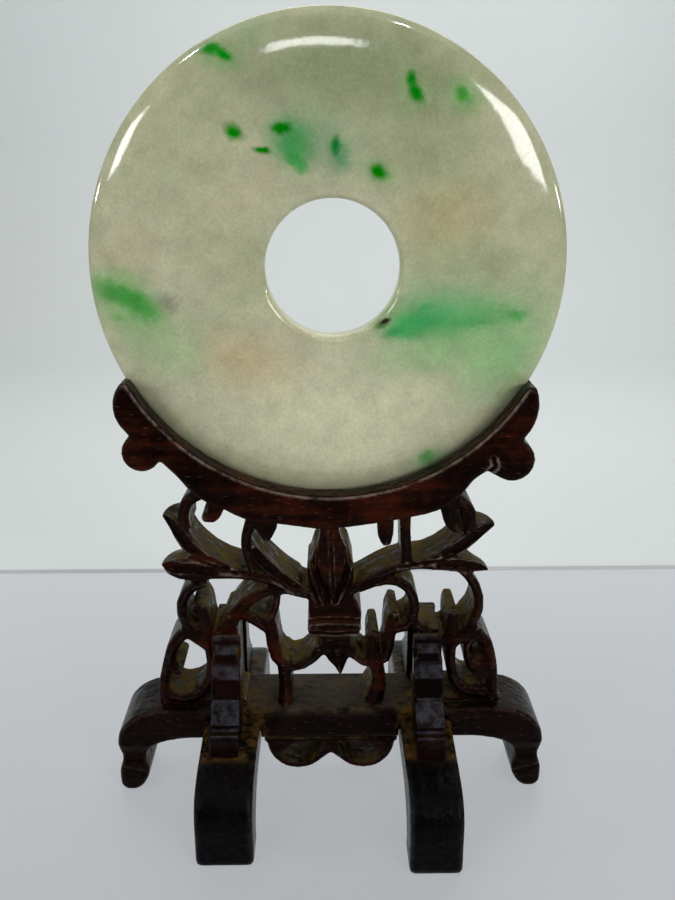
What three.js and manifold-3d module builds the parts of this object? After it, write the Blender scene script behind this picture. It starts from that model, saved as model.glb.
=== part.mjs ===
// Jade bi disc on its carved hardwood stand.
// Millimetres, +Z up. X runs across the disc, the front faces -Y, and the origin lies on the
// ground under the middle of the stand. "Out" is a distance from the middle plane X = 0.
import * as THREE from 'three';
import { mergeVertices } from 'three/addons/utils/BufferGeometryUtils.js';
import Module from 'manifold-3d';

const wasm = await Module();
wasm.setup();

// ---- Driving dimensions ----
const GAP = 0.3; // clearance between touching pieces

const DISC = { radius: 75, thickness: 8, hole: 21.1, rim: 5, rimSteps: 4, holeEdge: 1.2, segments: 56 };
const DISC_AT = [-0.2, 190.3]; // the disc's centre in X and Z
const HOLE_SHIFT = [1.2, 0.75]; // the hole's centre from the disc's centre

const CRADLE = { depth: 24, centre: 190, lip: 72.3, bevel: 0.8 }; // lip is a radius about centre
const HORN_BLUNT = [1.8, 0.4]; // how far the lip stops short of a horn's tip in X and Z
const PANEL = { front: -8.8, back: 8.4, ridge: 1.1, backWidth: 0.82 };

const BEAM = { depth: 24, top: 34.5, bottom: 22.4, reach: 78.4, bevel: 0.7 };
const FOOT = { top: 31, level: 14, fall: 0.1, sole: 14, archTop: 17, bevel: 0.9 };
const LAP_Z = 26.5; // the level at which the beam and the cross feet are halved together

const BRACKET = { width: 10.2, top: 65.4 };
const APRON = { front: -11.6, back: 8, reach: 24.4 };

const JADE = new THREE.MeshStandardMaterial({ color: 0xc9cbb4, roughness: 0.15, metalness: 0 });
const WOOD = new THREE.MeshStandardMaterial({ color: 0x3a1610, roughness: 0.35, metalness: 0 });
const DARK_WOOD = new THREE.MeshStandardMaterial({ color: 0x1d1110, roughness: 0.3, metalness: 0 });

// ---- Solids and outlines ----

/** A closed geometry as a manifold-3d solid. */
function solid(geometry) {
  geometry.deleteAttribute('normal');
  geometry.deleteAttribute('uv');
  const merged = mergeVertices(geometry, 1e-3);
  return new wasm.Manifold(new wasm.Mesh({
    numProp: 3,
    vertProperties: new Float32Array(merged.attributes.position.array),
    triVerts: new Uint32Array(merged.index.array),
  }));
}

/** A manifold-3d solid as a geometry. */
function geometryOf(manifold) {
  const mesh = manifold.getMesh();
  const geometry = new THREE.BufferGeometry();
  geometry.setAttribute('position', new THREE.BufferAttribute(mesh.vertProperties, 3));
  geometry.setIndex(new THREE.BufferAttribute(mesh.triVerts, 1));
  geometry.computeVertexNormals();
  return geometry;
}

const union = (parts) => parts.reduce((whole, part) => whole.add(part));

/** Points on an arc, with angles in degrees. */
function arc([cx, cz], radius, from, to, steps) {
  return Array.from({ length: steps + 1 }, (_, i) => {
    const a = THREE.MathUtils.degToRad(from + ((to - from) * i) / steps);
    return [cx + radius * Math.cos(a), cz + radius * Math.sin(a)];
  });
}

/** Points on a smooth curve through a few given points. */
function curve(points, steps) {
  const spline = new THREE.SplineCurve(points.map((p) => new THREE.Vector2(...p)));
  return spline.getPoints(steps).map((p) => [p.x, p.y]);
}

/** An outline from points, without doubled ones. */
function outline(points) {
  const kept = points.filter((p, i) => {
    const q = points[(i + points.length - 1) % points.length];
    return Math.hypot(p[0] - q[0], p[1] - q[1]) > 0.05;
  });
  return kept.map((p) => new THREE.Vector2(...p));
}

const mirror = (points) => points.map(([u, z]) => [-u, z]).reverse();

/** Extrudes an outline with an optional chamfer, laid along the axes of a basis matrix. */
function extrude(points, depth, bevel, holes, basis) {
  const ring = outline(points);
  if (THREE.ShapeUtils.isClockWise(ring)) ring.reverse();
  const shape = new THREE.Shape(ring);
  shape.holes = holes.map((hole) => new THREE.Path(outline(hole)));
  const geometry = new THREE.ExtrudeGeometry(shape, {
    depth: depth - 2 * bevel,
    bevelEnabled: bevel > 0,
    bevelThickness: bevel,
    bevelSize: bevel,
    bevelOffset: -bevel,
    bevelSegments: 1,
  });
  geometry.translate(0, 0, -(depth / 2 - bevel));
  return geometry.applyMatrix4(basis);
}

const X = new THREE.Vector3(1, 0, 0);
const Y = new THREE.Vector3(0, 1, 0);
const Z = new THREE.Vector3(0, 0, 1);
const FACING_FRONT = new THREE.Matrix4().makeBasis(X, Z, Y.clone().negate());
const FACING_SIDE = new THREE.Matrix4().makeBasis(Y, Z, X);

/** A board seen from the front: outline in X and Z, thickness from front to back in Y. */
function board(points, front, back, bevel = 0, holes = []) {
  const geometry = extrude(points, back - front, bevel, holes, FACING_FRONT);
  return geometry.translate(0, (front + back) / 2, 0);
}

/** A board seen from the side: outline in Y and Z, width in X about a centre. */
function sideBoard(points, centre, width, bevel = 0) {
  return extrude(points, width, bevel, [], FACING_SIDE).translate(centre, 0, 0);
}

/** A box from its lowest to its highest corner. */
function box(low, high) {
  const size = high.map((h, i) => h - low[i]);
  return new THREE.BoxGeometry(...size).translate(...low.map((l, i) => l + size[i] / 2));
}

/**
 * A ribbon of carved wood that follows stations [out, z, width] on one side of the stand.
 * Its front stands proud along the middle, so it reads as a rounded stem or a leaf; the back is flat.
 */
function ribbon(side, stations, steps, ridge = PANEL.ridge) {
  const path = new THREE.CatmullRomCurve3(
    stations.map(([u, z, w]) => new THREE.Vector3(side * u, w, z)), false, 'centripetal');
  const geometry = new THREE.BoxGeometry(1, 1, 1, steps, 1, 2);
  const position = geometry.attributes.position;
  for (let i = 0; i < position.count; i += 1) {
    const t = position.getX(i) + 0.5;
    const across = position.getZ(i);
    const crown = 1 - Math.abs(2 * across);
    const at = path.getPoint(t);
    const along = path.getPoint(Math.min(t + 0.01, 1)).sub(path.getPoint(Math.max(t - 0.01, 0)));
    along.y = 0;
    along.normalize();
    const isFront = position.getY(i) < 0;
    const y = isFront ? PANEL.front - ridge * crown : PANEL.back;
    const offset = across * at.y * (isFront ? 1 : PANEL.backWidth);
    position.setXYZ(i, at.x - along.z * offset, y, at.z + along.x * offset);
  }
  return solid(geometry);
}

/** A round plug through the panel: a boss where it is added, a drilled eye where it is cut away. */
function plug(side, [u, z], radius, proud, sides) {
  const front = PANEL.front - proud;
  const geometry = new THREE.CylinderGeometry(radius, radius, PANEL.back - front, sides);
  return solid(geometry.translate(side * u, (front + PANEL.back) / 2, z));
}

// ---- The disc ----

/** A turned ring with a pillowed rim and eased edges at its slightly off-centre hole. */
function makeDisc() {
  const half = DISC.thickness / 2;
  const rim = arc([0, 0], 1, -90, 90, DISC.rimSteps).map(([c, s]) => [
    DISC.radius - DISC.rim + DISC.rim * c, half * s]);
  const e = DISC.holeEdge;
  const hole = [[DISC.hole + e, half], [DISC.hole, half - e], [DISC.hole, e - half], [DISC.hole + e, -half]];
  const profile = [...rim, ...hole, rim[0]].map((p) => new THREE.Vector2(...p));
  const geometry = new THREE.LatheGeometry(profile, DISC.segments);
  const position = geometry.attributes.position;
  for (let i = 0; i < position.count; i += 1) {
    const [x, y, z] = [position.getX(i), position.getY(i), position.getZ(i)];
    const inward = (DISC.radius - Math.hypot(x, z)) / (DISC.radius - DISC.hole);
    position.setXYZ(i, x + HOLE_SHIFT[0] * inward, y, z + HOLE_SHIFT[1] * inward);
  }
  return geometryOf(solid(geometry.translate(DISC_AT[0], 0, DISC_AT[1])));
}

// ---- The cradle: a crescent on a pierced panel, carved from one board ----

// Each horn has an upper lobe and a round lower lobe; the crescent's lower edge runs in from them.
const HORNS = {
  left: {
    tip: [64.6, 156.6],
    upper: arc([57.5, 148.7], 11.7, 40, -46, 6),
    lower: arc([61.3, 133.2], 6.4, 60, -152, 10),
    edge: [[55.2, 130.3], [50, 124.8], [44, 117.6], [36, 113.6], [27.5, 109.2], [17, 107.8], [5, 106]],
  },
  right: {
    tip: [63.6, 154.8],
    upper: arc([51.3, 148.3], 15.9, 23, -42, 6),
    lower: arc([60, 130], 7.2, 64, -122, 9),
    edge: [[51.8, 126.4], [47.5, 123.4], [43, 117.4], [36, 112.4], [27, 110], [15, 107.8], [5, 106.4]],
  },
};

/** One side of the crescent's outline from the horn's tip to the middle of the lower edge. */
function hornSide({ tip, upper, lower, edge }) {
  return [tip, ...upper, ...lower, ...curve(edge, 12)];
}

/** The crescent, with the groove that the disc's edge sits in. */
function makeCrescent() {
  const half = CRADLE.depth / 2;
  const end = (side, [u, z]) => THREE.MathUtils.radToDeg(
    Math.atan2(z - HORN_BLUNT[1] - CRADLE.centre, side * (u - HORN_BLUNT[0])));
  const lip = arc([0, CRADLE.centre], CRADLE.lip, end(-1, HORNS.left.tip), end(1, HORNS.right.tip), 26);
  const points = [...lip, ...hornSide(HORNS.right), ...mirror(hornSide(HORNS.left))];
  const body = solid(board(points, -half, half, CRADLE.bevel));
  const radius = DISC.radius + GAP;
  const groove = new THREE.CylinderGeometry(radius, radius, DISC.thickness + 2 * GAP, 80);
  return body.subtract(solid(groove.translate(DISC_AT[0], 0, DISC_AT[1])));
}

// Stations [out, z, width] of the strands on each side. The two sides follow one design, cut by
// hand, so no strand matches its twin exactly.
const OPENWORK = {
  left: {
    hook: [[42, 118.5, 4.4], [47, 115.8, 4.2], [49.4, 111, 4], [48.6, 105, 3.4]],
    curl: [[37.6, 116, 6], [38.6, 111.2, 5], [40.8, 108.7, 3.8], [43.2, 109.8, 1.4]],
    upperLeaf: [[56.3, 110.4, 0.6], [51.4, 105, 5], [49, 100.3, 5.4], [45, 95.2, 5.4],
      [38.5, 90.6, 4.2], [30, 87.8, 3]],
    midLeaf: [[57.8, 92, 0.6], [53.4, 90.2, 7], [48.4, 89.8, 8.4], [42, 88.8, 5.6], [34, 87.8, 3.2]],
    stem: [[8, 80, 3.4], [16, 83.5, 3.4], [23, 86.2, 3.4], [29.5, 87.4, 3.2], [37, 88.2, 3.8]],
    innerLeaf: [[11, 82.4, 3], [17.4, 86.6, 4.2], [22.2, 91.6, 4.2], [25.6, 96.4, 3], [26.8, 100.8, 0.8]],
    column: [[25, 110.5, 5], [28.2, 103.6, 3.6], [28.6, 97.2, 3.4], [26.4, 89, 3]],
    tab: [[21.8, 110, 9.4], [21.6, 104.8, 7], [21.4, 100.4, 1.6]],
    outerC: [[42.6, 84.8, 2.8], [48.6, 82.4, 3.6], [51.9, 76.6, 3.6], [51.6, 70.6, 3.6], [48.4, 65.6, 4.4]],
    innerC: [[8, 79.6, 3], [17.6, 81.8, 3], [25, 79.9, 4], [30.4, 76, 4.6], [33.4, 71.6, 4.8], [36, 66.4, 5]],
    outerArm: [[45, 76, 2.4], [44.6, 73.4, 4.6], [43.9, 69, 4.6], [43.6, 64, 5]],
    innerArm: [[35.2, 72.2, 3], [35.6, 69, 5], [37.8, 64.9, 4.2], [43, 63, 4]],
    node: [[52.6, 66.8, 3], [48, 64.8, 4], [41, 62.9, 4], [34, 65, 4]],
    knot: [[50, 64, 3], [46, 61.5, 4], [43, 59, 4]],
    lowerC: [[50.4, 65.6, 4], [55, 61, 4.2], [57.2, 55.6, 4], [56.9, 51.2, 3.4], [54.6, 49.6, 2.4]],
    outerRail: [[57, 57, 3.6], [58.8, 50.4, 3.4], [60.2, 44, 3.4], [60, 36, 4]],
    cup: [[60, 41.6, 3.4], [56.4, 38.4, 3.2], [50.6, 38.2, 3.4], [46, 41, 3.2], [43.2, 47, 3.2],
      [42.8, 56, 3.2], [44, 64, 4]],
    bowl: [[21.9, 71, 4.4], [20.6, 64, 4.8], [19.8, 56, 4.6], [17, 51.6, 3.8], [12.4, 50.2, 2.8],
      [7.6, 52.8, 3.4], [3, 58.6, 4.4]],
    stub: [[17, 53, 4.8], [16.3, 44, 4.6], [16.4, 34.9, 6]],
    link: [[21.6, 65.8, 3.6], [26, 69.4, 4], [32, 73.6, 4.4]],
    inner: [[18.4, 80.6, 2.2], [18.9, 76, 2.6], [21, 70.4, 3.2]],
  },
  right: {
    hook: [[40, 116.4, 4.4], [45.2, 113.4, 4.4], [47.6, 109, 4.2], [46.6, 103.4, 3.6]],
    curl: [[39.6, 115, 6], [40.2, 109.4, 4.8], [41.6, 105.6, 4], [44.4, 104, 2.4]],
    upperLeaf: [[56, 106.5, 0.6], [49.8, 103, 5], [45.4, 99, 5.2], [41, 95.2, 5], [35, 92, 3.6],
      [28, 90.6, 3]],
    midLeaf: [[54.6, 89.1, 0.6], [50.4, 90, 3.6], [45.4, 90.8, 5.6], [39, 91.1, 4.6], [30, 90.9, 3]],
    stem: [[4, 79.6, 3.2], [11, 83.4, 3.4], [17, 87, 3.6], [23.4, 90, 3.4], [31, 91.2, 3.2]],
    column: [[25.4, 113, 4.4], [25.5, 105, 3.6], [25.9, 98, 3.8], [26.3, 91, 4]],
    tab: [[18.8, 110, 5.6], [18.8, 102.4, 5.4], [19.4, 98.6, 2.6]],
    outerC: [[44.6, 89.4, 2.4], [49.2, 85, 3.4], [51.9, 78.2, 3.4], [51.8, 71.6, 3.4], [48.6, 65.8, 4.4]],
    innerC: [[10, 81.6, 2.4], [16, 84.4, 3.2], [22, 85.2, 3.8], [26.6, 82.6, 3.6], [29, 78, 3.5],
      [29.6, 72.6, 3.5], [27.4, 67.2, 3.8], [23, 65.8, 3.4]],
    outerArm: [[43.2, 73, 3], [43, 70.4, 5], [42.8, 66, 4.8], [43.4, 61.6, 5]],
    innerArm: [[30.4, 67.6, 3.4], [35, 64, 4], [38.2, 61.4, 4], [43, 61, 4]],
    node: [[52.4, 66.6, 3], [47.4, 64.4, 4.4], [41.4, 61.8, 4.2], [36, 60.6, 3.6]],
    knot: [[49, 63.5, 3], [46, 62, 4], [43.4, 59.5, 4]],
    lowerC: [[49.4, 65, 4], [54.2, 62, 4.6], [56.2, 57, 4.8], [57.8, 50.6, 4.4], [58.6, 44, 3.9],
      [58.8, 36, 4]],
    tongue: [[52.4, 63.4, 3], [49.6, 61, 3], [48.7, 57.4, 2.6], [49.4, 53.6, 3.4], [51.6, 50.6, 6.4],
      [55, 49.6, 9], [58.2, 49.4, 8.6]],
    cup: [[60, 39.6, 4.6], [53.4, 39.7, 4.8], [48.4, 40.6, 4.4], [44.8, 44.6, 3.8], [43.3, 50, 3.4],
      [43.2, 62, 3.6]],
    bowl: [[22.6, 72.6, 3.6], [21.2, 67, 4.6], [20.9, 60, 3.8], [19.6, 54, 3.8], [14.6, 51.2, 2.8],
      [9.8, 53.8, 3], [6.4, 58.8, 4]],
    stub: [[15.4, 53, 4.4], [17.6, 46, 5], [17, 40.6, 6], [15, 34.9, 8]],
    link: [[20.8, 66.6, 3.8], [25, 66.6, 3.6], [29, 69, 3.8]],
    finger: [[15.2, 64.8, 3], [15.2, 62, 5], [15, 57, 5], [15.4, 52, 4.4]],
  },
};

/** The post that the bracket leans on, and the foot rail that the openwork stands on. */
function panelFoot(side) {
  const bottom = BEAM.top + GAP;
  const span = (a, b) => [Math.min(side * a, side * b), Math.max(side * a, side * b)];
  const [postLow, postHigh] = span(32.6, 38.6);
  const [railLow, railHigh] = span(30.5, 62);
  return union([
    solid(box([postLow, PANEL.front, bottom], [postHigh, PANEL.back, 66])),
    solid(box([railLow, PANEL.front, bottom], [railHigh, PANEL.back, bottom + 3])),
  ]);
}

/** The strands of one side, joined. */
function openworkSide(side, strands) {
  return union([...Object.values(strands).map((s) => ribbon(side, s, s.length + 1)), panelFoot(side)]);
}

// Outlines of the bud's boards: the core behind the petals, the cup they stand in, the barrel and
// the neck, each with how far it stands proud of the panel.
const BUD_BOARDS = [
  { proud: -1.6, points: [[-2.8, 108], [-2.8, 99.5], [-5.4, 97], [-7.2, 91], [-7.4, 79], [8, 79],
    [7.8, 91], [6.2, 97], [3.4, 100], [3.2, 108]] },
  { proud: 0.6, points: [[-6.6, 81], [-7.7, 77], [-7.7, 69], [10.7, 69], [11, 72.2], [9.2, 77.9], [6.8, 81]] },
  { proud: 1.9, points: [[-7.9, 69.4], [-8.1, 67], [-7.4, 64.3], [9.2, 64.1], [10.8, 66.6], [10.7, 69.4]] },
  { proud: 0.9, points: [[-3.7, 65], [-3.2, 57.4], [6.7, 56.8], [6.9, 65]] },
];

/** The bud in the middle: a keeled petal between two side petals, a barrel, a neck and a spearhead. */
function makeBud() {
  return union([
    ...BUD_BOARDS.map(({ proud, points }) => solid(board(points, PANEL.front - proud, PANEL.back))),
    ribbon(1, [[-0.2, 108, 6.4], [-0.2, 103, 6.8], [0.4, 97.4, 10.2], [0.6, 91.7, 11.4], [0.9, 86, 9.2],
      [1.1, 81.6, 5.4], [0.8, 76.8, 1.6]], 9, 2.9),
    ribbon(1, [[-7.2, 91.4, 1.4], [-6.4, 88, 3.4], [-4.6, 82.4, 3.8], [-2.4, 76, 2.8]], 5, 1.9),
    ribbon(1, [[7.3, 91, 1.4], [6.6, 87, 3.2], [4.8, 82, 3.4], [2.4, 76.4, 2.8]], 5, 1.9),
    ribbon(1, [[2, 58.6, 8], [2.5, 55.8, 9.2], [3.2, 52, 4.8], [3.7, 47.8, 0.6]], 4, 2),
  ]);
}

// The rolled ends of two scrolls on the left, and the eye drilled in the lower scroll on the right.
const BOSSES = [{ at: [54.8, 49.4], radius: 1.9 }, { at: [46, 74.4], radius: 2.8 }];
const EYE = { at: [51.3, 57.7], radius: 2.2 };

/** The whole cradle, trimmed flat where it stands on the beam. */
function makeCradle() {
  const cradle = union([
    makeCrescent(),
    openworkSide(-1, OPENWORK.left),
    openworkSide(1, OPENWORK.right),
    ...BOSSES.map(({ at, radius }) => plug(-1, at, radius, 0.6, 8)),
    makeBud(),
  ]);
  const below = solid(box([-90, -30, 0], [90, 30, BEAM.top + GAP]));
  return geometryOf(cradle.subtract(plug(1, EYE.at, EYE.radius, CRADLE.depth, 14)).subtract(below));
}

// ---- The beam, whose ends turn down as the side feet ----

/** The right half of the beam's outline, from the middle of the underside to the middle of the top. */
function beamSide() {
  const { top, bottom, reach } = BEAM;
  const inside = [[52, bottom], [60, bottom - 1.2], [65.2, 19], [68, 15.4], [68.2, 12.4],
    [67.4, 8.6], [68, 5], [70, 1.7]];
  const sole = [[72.2, 0], [76.4, 0]];
  const outside = [[78, 1.6], [reach, 4.6], [reach - 0.3, 9], [76.8, 13.4], [77.8, 17.6], [78, 22],
    [76.4, 26.6], [72, 31], [66, 33.6], [60, top]];
  return [[0, bottom], ...curve(inside, 14), ...sole, ...curve(outside, 16), [0, top]];
}

function makeBeam() {
  const half = BEAM.depth / 2;
  const side = beamSide();
  const points = [...side, ...mirror(side)];
  let beam = solid(board(points, -half, half, BEAM.bevel));
  for (const x of [-1, 1]) {
    for (const y of [-1, 1]) {
      const cove = new THREE.CylinderGeometry(7, 7, 30, 20).rotateZ(Math.PI / 2);
      beam = beam.subtract(solid(cove.translate(x * 73, y * (half + 6), 15.6)));
    }
  }
  for (const foot of Object.values(CROSS_FEET)) {
    const [low, high] = footSpan(foot);
    beam = beam.subtract(solid(box([low - GAP, -20, 0], [high + GAP, 20, LAP_Z])));
  }
  return geometryOf(beam);
}

// ---- The cross feet, halved into the beam ----

const CROSS_FEET = {
  cross_foot_left: { centre: -35.8, width: 20, taper: 0.03, reach: 49.8 },
  cross_foot_right: { centre: 34.4, width: 18.6, taper: 0.05, reach: 54.2 },
};

const footSpan = ({ centre, width }) => [centre - width / 2, centre + width / 2];

/** The height of a cross foot's top, which is level in the middle and then falls away. */
const footTop = (out) => FOOT.top - FOOT.fall * Math.max(0, out - FOOT.level);

/** The front half of a cross foot's side outline, from the middle of the top to the sole. */
function footSide(reach) {
  const { top, level, sole, archTop } = FOOT;
  const shoulder = [[33, footTop(33)], [reach - 10, top - 3.4], [reach - 4, top - 6.6],
    [reach - 0.8, top - 13], [reach - 0.4, 9], [reach, 1.4]];
  const heel = reach - sole;
  const arch = [[heel - 1, 1], [heel + 0.6, 6], [heel - 3, 12], [heel - 11, archTop - 1], [14, archTop]];
  return [[0, top], [level, top], ...curve(shoulder, 12), [reach - 1, 0], [heel, 0],
    ...curve(arch, 8), [0, archTop]];
}

/** A cross foot: an arched block that narrows a little towards its toes. */
function makeCrossFoot({ centre, width, taper, reach }) {
  const side = footSide(reach);
  const points = [...side, ...mirror(side)];
  const geometry = sideBoard(points, 0, width, FOOT.bevel);
  const position = geometry.attributes.position;
  for (let i = 0; i < position.count; i += 1) {
    const inward = 1 - taper * Math.abs(position.getY(i)) / reach;
    position.setX(i, position.getX(i) * inward);
  }
  const foot = solid(geometry.translate(centre, 0, 0));
  const half = BEAM.depth / 2 + GAP;
  return geometryOf(foot.subtract(solid(box([centre - 30, -half, LAP_Z - GAP], [centre + 30, half, 60]))));
}

// ---- The stepped brackets that stand on the cross feet and lean on the panel ----

const BRACKETS = {
  bracket_front_left: { x: -36.6, foot: 31.4, face: -1 },
  bracket_front_right: { x: 34.2, foot: 33.6, face: -1 },
  bracket_back_left: { x: -36.6, foot: 31.4, face: 1 },
  bracket_back_right: { x: 34.2, foot: 33.6, face: 1 },
};

/**
 * A bracket's side outline as [distance from the panel's middle, z]. The front climbs in steps,
 * each an upright riser, an undercut nick and a sloping tread.
 */
function bracketSide(foot, back) {
  const { top } = BRACKET;
  const beam = BEAM.depth / 2 + GAP;
  const base = (out) => [out, footTop(out) + GAP];
  const steps = [base(foot), [foot - 0.5, 33], [foot - 2, 37.1], [foot - 4.6, 37.2], [foot - 5.2, 39.2],
    [21.8, 44.8], [20.4, 45], [20.7, 46.6], [19.5, 53], [15.9, 55.1], [15, 57.2], [14.6, 59.6],
    [13.2, 61.5], [12, 61.9], [12.3, 63.4], [11.3, top]];
  return [...steps, [back, top], [back, BEAM.top + GAP], [beam, BEAM.top + GAP], base(beam),
    base(FOOT.level)];
}

function makeBracket({ x, foot, face }) {
  const panel = face < 0 ? -PANEL.front + PANEL.ridge : PANEL.back;
  const points = bracketSide(foot, panel + GAP).map(([out, z]) => [face * out, z]);
  return geometryOf(solid(sideBoard(points, x, BRACKET.width, 0.4)));
}

// ---- The apron: a pierced double scroll that hangs under the beam ----

/** One lobe's outer edge from its end under the beam to the cusp in the middle. */
const LOBE = [[23.4, 20.4], [22.6, 16.6], [20.4, 12.8], [16.6, 9.8], [12, 8.9], [7, 10], [3, 13.2],
  [0, 15.6]];
const LOBE_OPENING = [[2.8, 18.6], [4.6, 14.8], [8, 11.8], [12, 10.9], [16, 11.8], [18.6, 13.8], [18.4, 16.2],
  [15.6, 17.2], [14.4, 19.6], [9, 20.3], [4, 20]];

function makeApron() {
  const top = BEAM.bottom - GAP;
  const { reach, front, back } = APRON;
  const half = [[reach, top], [reach, top - 1.2], ...curve(LOBE, 14)];
  const left = half.map(([u, z]) => [-u, z]);
  const points = [...half, ...left.reverse().slice(1)];
  const hole = curve([...LOBE_OPENING, LOBE_OPENING[0]], 18).slice(0, -1);
  const otherHole = hole.map(([u, z]) => [-u, z]);
  return geometryOf(solid(board(points, front, back, 0, [hole, otherHole])));
}

// ---- The object ----

const group = new THREE.Group();

/** Adds one named piece. */
function add(name, geometry, material) {
  const mesh = new THREE.Mesh(geometry, material);
  mesh.name = name;
  group.add(mesh);
}

add('jade_disc', makeDisc(), JADE);
add('cradle_panel', makeCradle(), WOOD);
add('long_foot', makeBeam(), WOOD);
for (const [name, foot] of Object.entries(CROSS_FEET)) add(name, makeCrossFoot(foot), DARK_WOOD);
for (const [name, bracket] of Object.entries(BRACKETS)) add(name, makeBracket(bracket), DARK_WOOD);
add('apron', makeApron(), WOOD);

export default group;
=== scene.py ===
"""A jade bi disc on its carved hardwood stand.

Every length in the classes is in millimetres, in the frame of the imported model: X to the right
across the disc, Y to the back and Z up, with the origin on the ground under the stand.
"""

import enum
import logging
import math
from dataclasses import dataclass, field

import bpy
import numpy as np
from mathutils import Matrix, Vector


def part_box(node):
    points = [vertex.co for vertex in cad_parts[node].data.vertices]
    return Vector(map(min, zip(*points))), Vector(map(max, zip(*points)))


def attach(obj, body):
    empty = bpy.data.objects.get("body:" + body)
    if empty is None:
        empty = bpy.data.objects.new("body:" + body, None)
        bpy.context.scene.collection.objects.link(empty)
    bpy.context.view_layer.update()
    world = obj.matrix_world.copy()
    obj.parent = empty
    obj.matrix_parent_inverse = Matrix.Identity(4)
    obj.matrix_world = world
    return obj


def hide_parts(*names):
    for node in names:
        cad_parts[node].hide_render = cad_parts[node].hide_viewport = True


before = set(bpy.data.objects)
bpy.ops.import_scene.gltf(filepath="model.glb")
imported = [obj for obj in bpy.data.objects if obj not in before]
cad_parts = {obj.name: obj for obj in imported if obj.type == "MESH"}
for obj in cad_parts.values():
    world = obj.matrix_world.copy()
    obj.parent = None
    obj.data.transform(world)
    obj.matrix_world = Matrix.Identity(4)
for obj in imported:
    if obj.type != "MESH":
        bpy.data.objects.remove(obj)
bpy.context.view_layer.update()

MM = 0.001
BODY = "root"

logging.basicConfig(level=logging.INFO, format="%(levelname)s %(message)s")
log = logging.getLogger("bi_disc")


# ---- Small helpers ----


def smoothstep(low: float, high: float, value: np.ndarray) -> np.ndarray:
    """Rises smoothly from 0 at low to 1 at high."""
    t = np.clip((value - low) / (high - low), 0.0, 1.0)
    return t * t * (3.0 - 2.0 * t)


def linear(code: str) -> tuple[float, float, float, float]:
    """Turns an sRGB hex colour into linear RGBA.

    Args:
        code: Six hex digits, such as "3a1610".

    Returns:
        The linear red, green, blue and an alpha of 1.
    """
    parts = [int(code[i : i + 2], 16) / 255 for i in (0, 2, 4)]
    turned = [c / 12.92 if c <= 0.04045 else ((c + 0.055) / 1.055) ** 2.4 for c in parts]
    return (turned[0], turned[1], turned[2], 1.0)


def add_node(
    tree: bpy.types.NodeTree, kind: str, inputs: dict[str | int, object] | None = None, **settings: object
) -> bpy.types.Node:
    """Adds one node with its settings and links.

    Args:
        tree: The node tree.
        kind: The node's type name.
        inputs: Input name or index to a plain value, or to the output socket that feeds it.
        settings: Attributes of the node, such as operation="ADD".

    Returns:
        The new node.
    """
    node = tree.nodes.new(kind)
    for key, value in settings.items():
        setattr(node, key, value)
    for key, value in (inputs or {}).items():
        if isinstance(value, bpy.types.NodeSocket):
            tree.links.new(value, node.inputs[key])
        else:
            node.inputs[key].default_value = value
    return node


def ramp_stops(node: bpy.types.Node, stops: list[tuple[float, str]]) -> bpy.types.NodeSocket:
    """Sets the colours of a colour ramp.

    Args:
        node: The colour ramp node.
        stops: Position and hex colour of each stop, in rising order.

    Returns:
        The ramp's colour output.
    """
    elements = node.color_ramp.elements
    while len(elements) < len(stops):
        elements.new(0.5)
    for element, (position, code) in zip(elements, stops):
        element.position = position
        element.color = linear(code)
    return node.outputs["Color"]


def mesh_object(name: str, vertices: np.ndarray, faces: list | np.ndarray) -> bpy.types.Object:
    """Makes a smooth-shaded mesh object in the scene.

    Args:
        name: The object's name.
        vertices: Points in millimetres.
        faces: Vertex numbers of each face.

    Returns:
        The new object, at the origin.
    """
    mesh = bpy.data.meshes.new(name)
    mesh.from_pydata((np.asarray(vertices) * MM).tolist(), [], [list(map(int, f)) for f in faces])
    mesh.validate()
    mesh.shade_smooth()
    made = bpy.data.objects.new(name, mesh)
    bpy.context.scene.collection.objects.link(made)
    return made


def new_material(name: str) -> tuple[bpy.types.Material, bpy.types.NodeTree, bpy.types.Node]:
    """Makes an empty node material.

    Args:
        name: The material's name.

    Returns:
        The material, its tree, and its Principled shader, linked to the output.
    """
    material = bpy.data.materials.new(name)
    material.use_nodes = True
    tree = material.node_tree
    tree.nodes.clear()
    shader = add_node(tree, "ShaderNodeBsdfPrincipled")
    add_node(tree, "ShaderNodeOutputMaterial", {"Surface": shader.outputs["BSDF"]})
    return material, tree, shader


# ---- Finishes ----


class Grain(enum.IntEnum):
    """The axis that a board's grain runs along."""

    ACROSS = 0
    FRONT_TO_BACK = 1


@dataclass(frozen=True)
class Fleck:
    """One coloured patch in the jade, as a soft ellipse on the disc's face."""

    x: float
    z: float
    long: float
    short: float
    turn: float
    strength: float
    code: str
    core: float = 0.15


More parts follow.
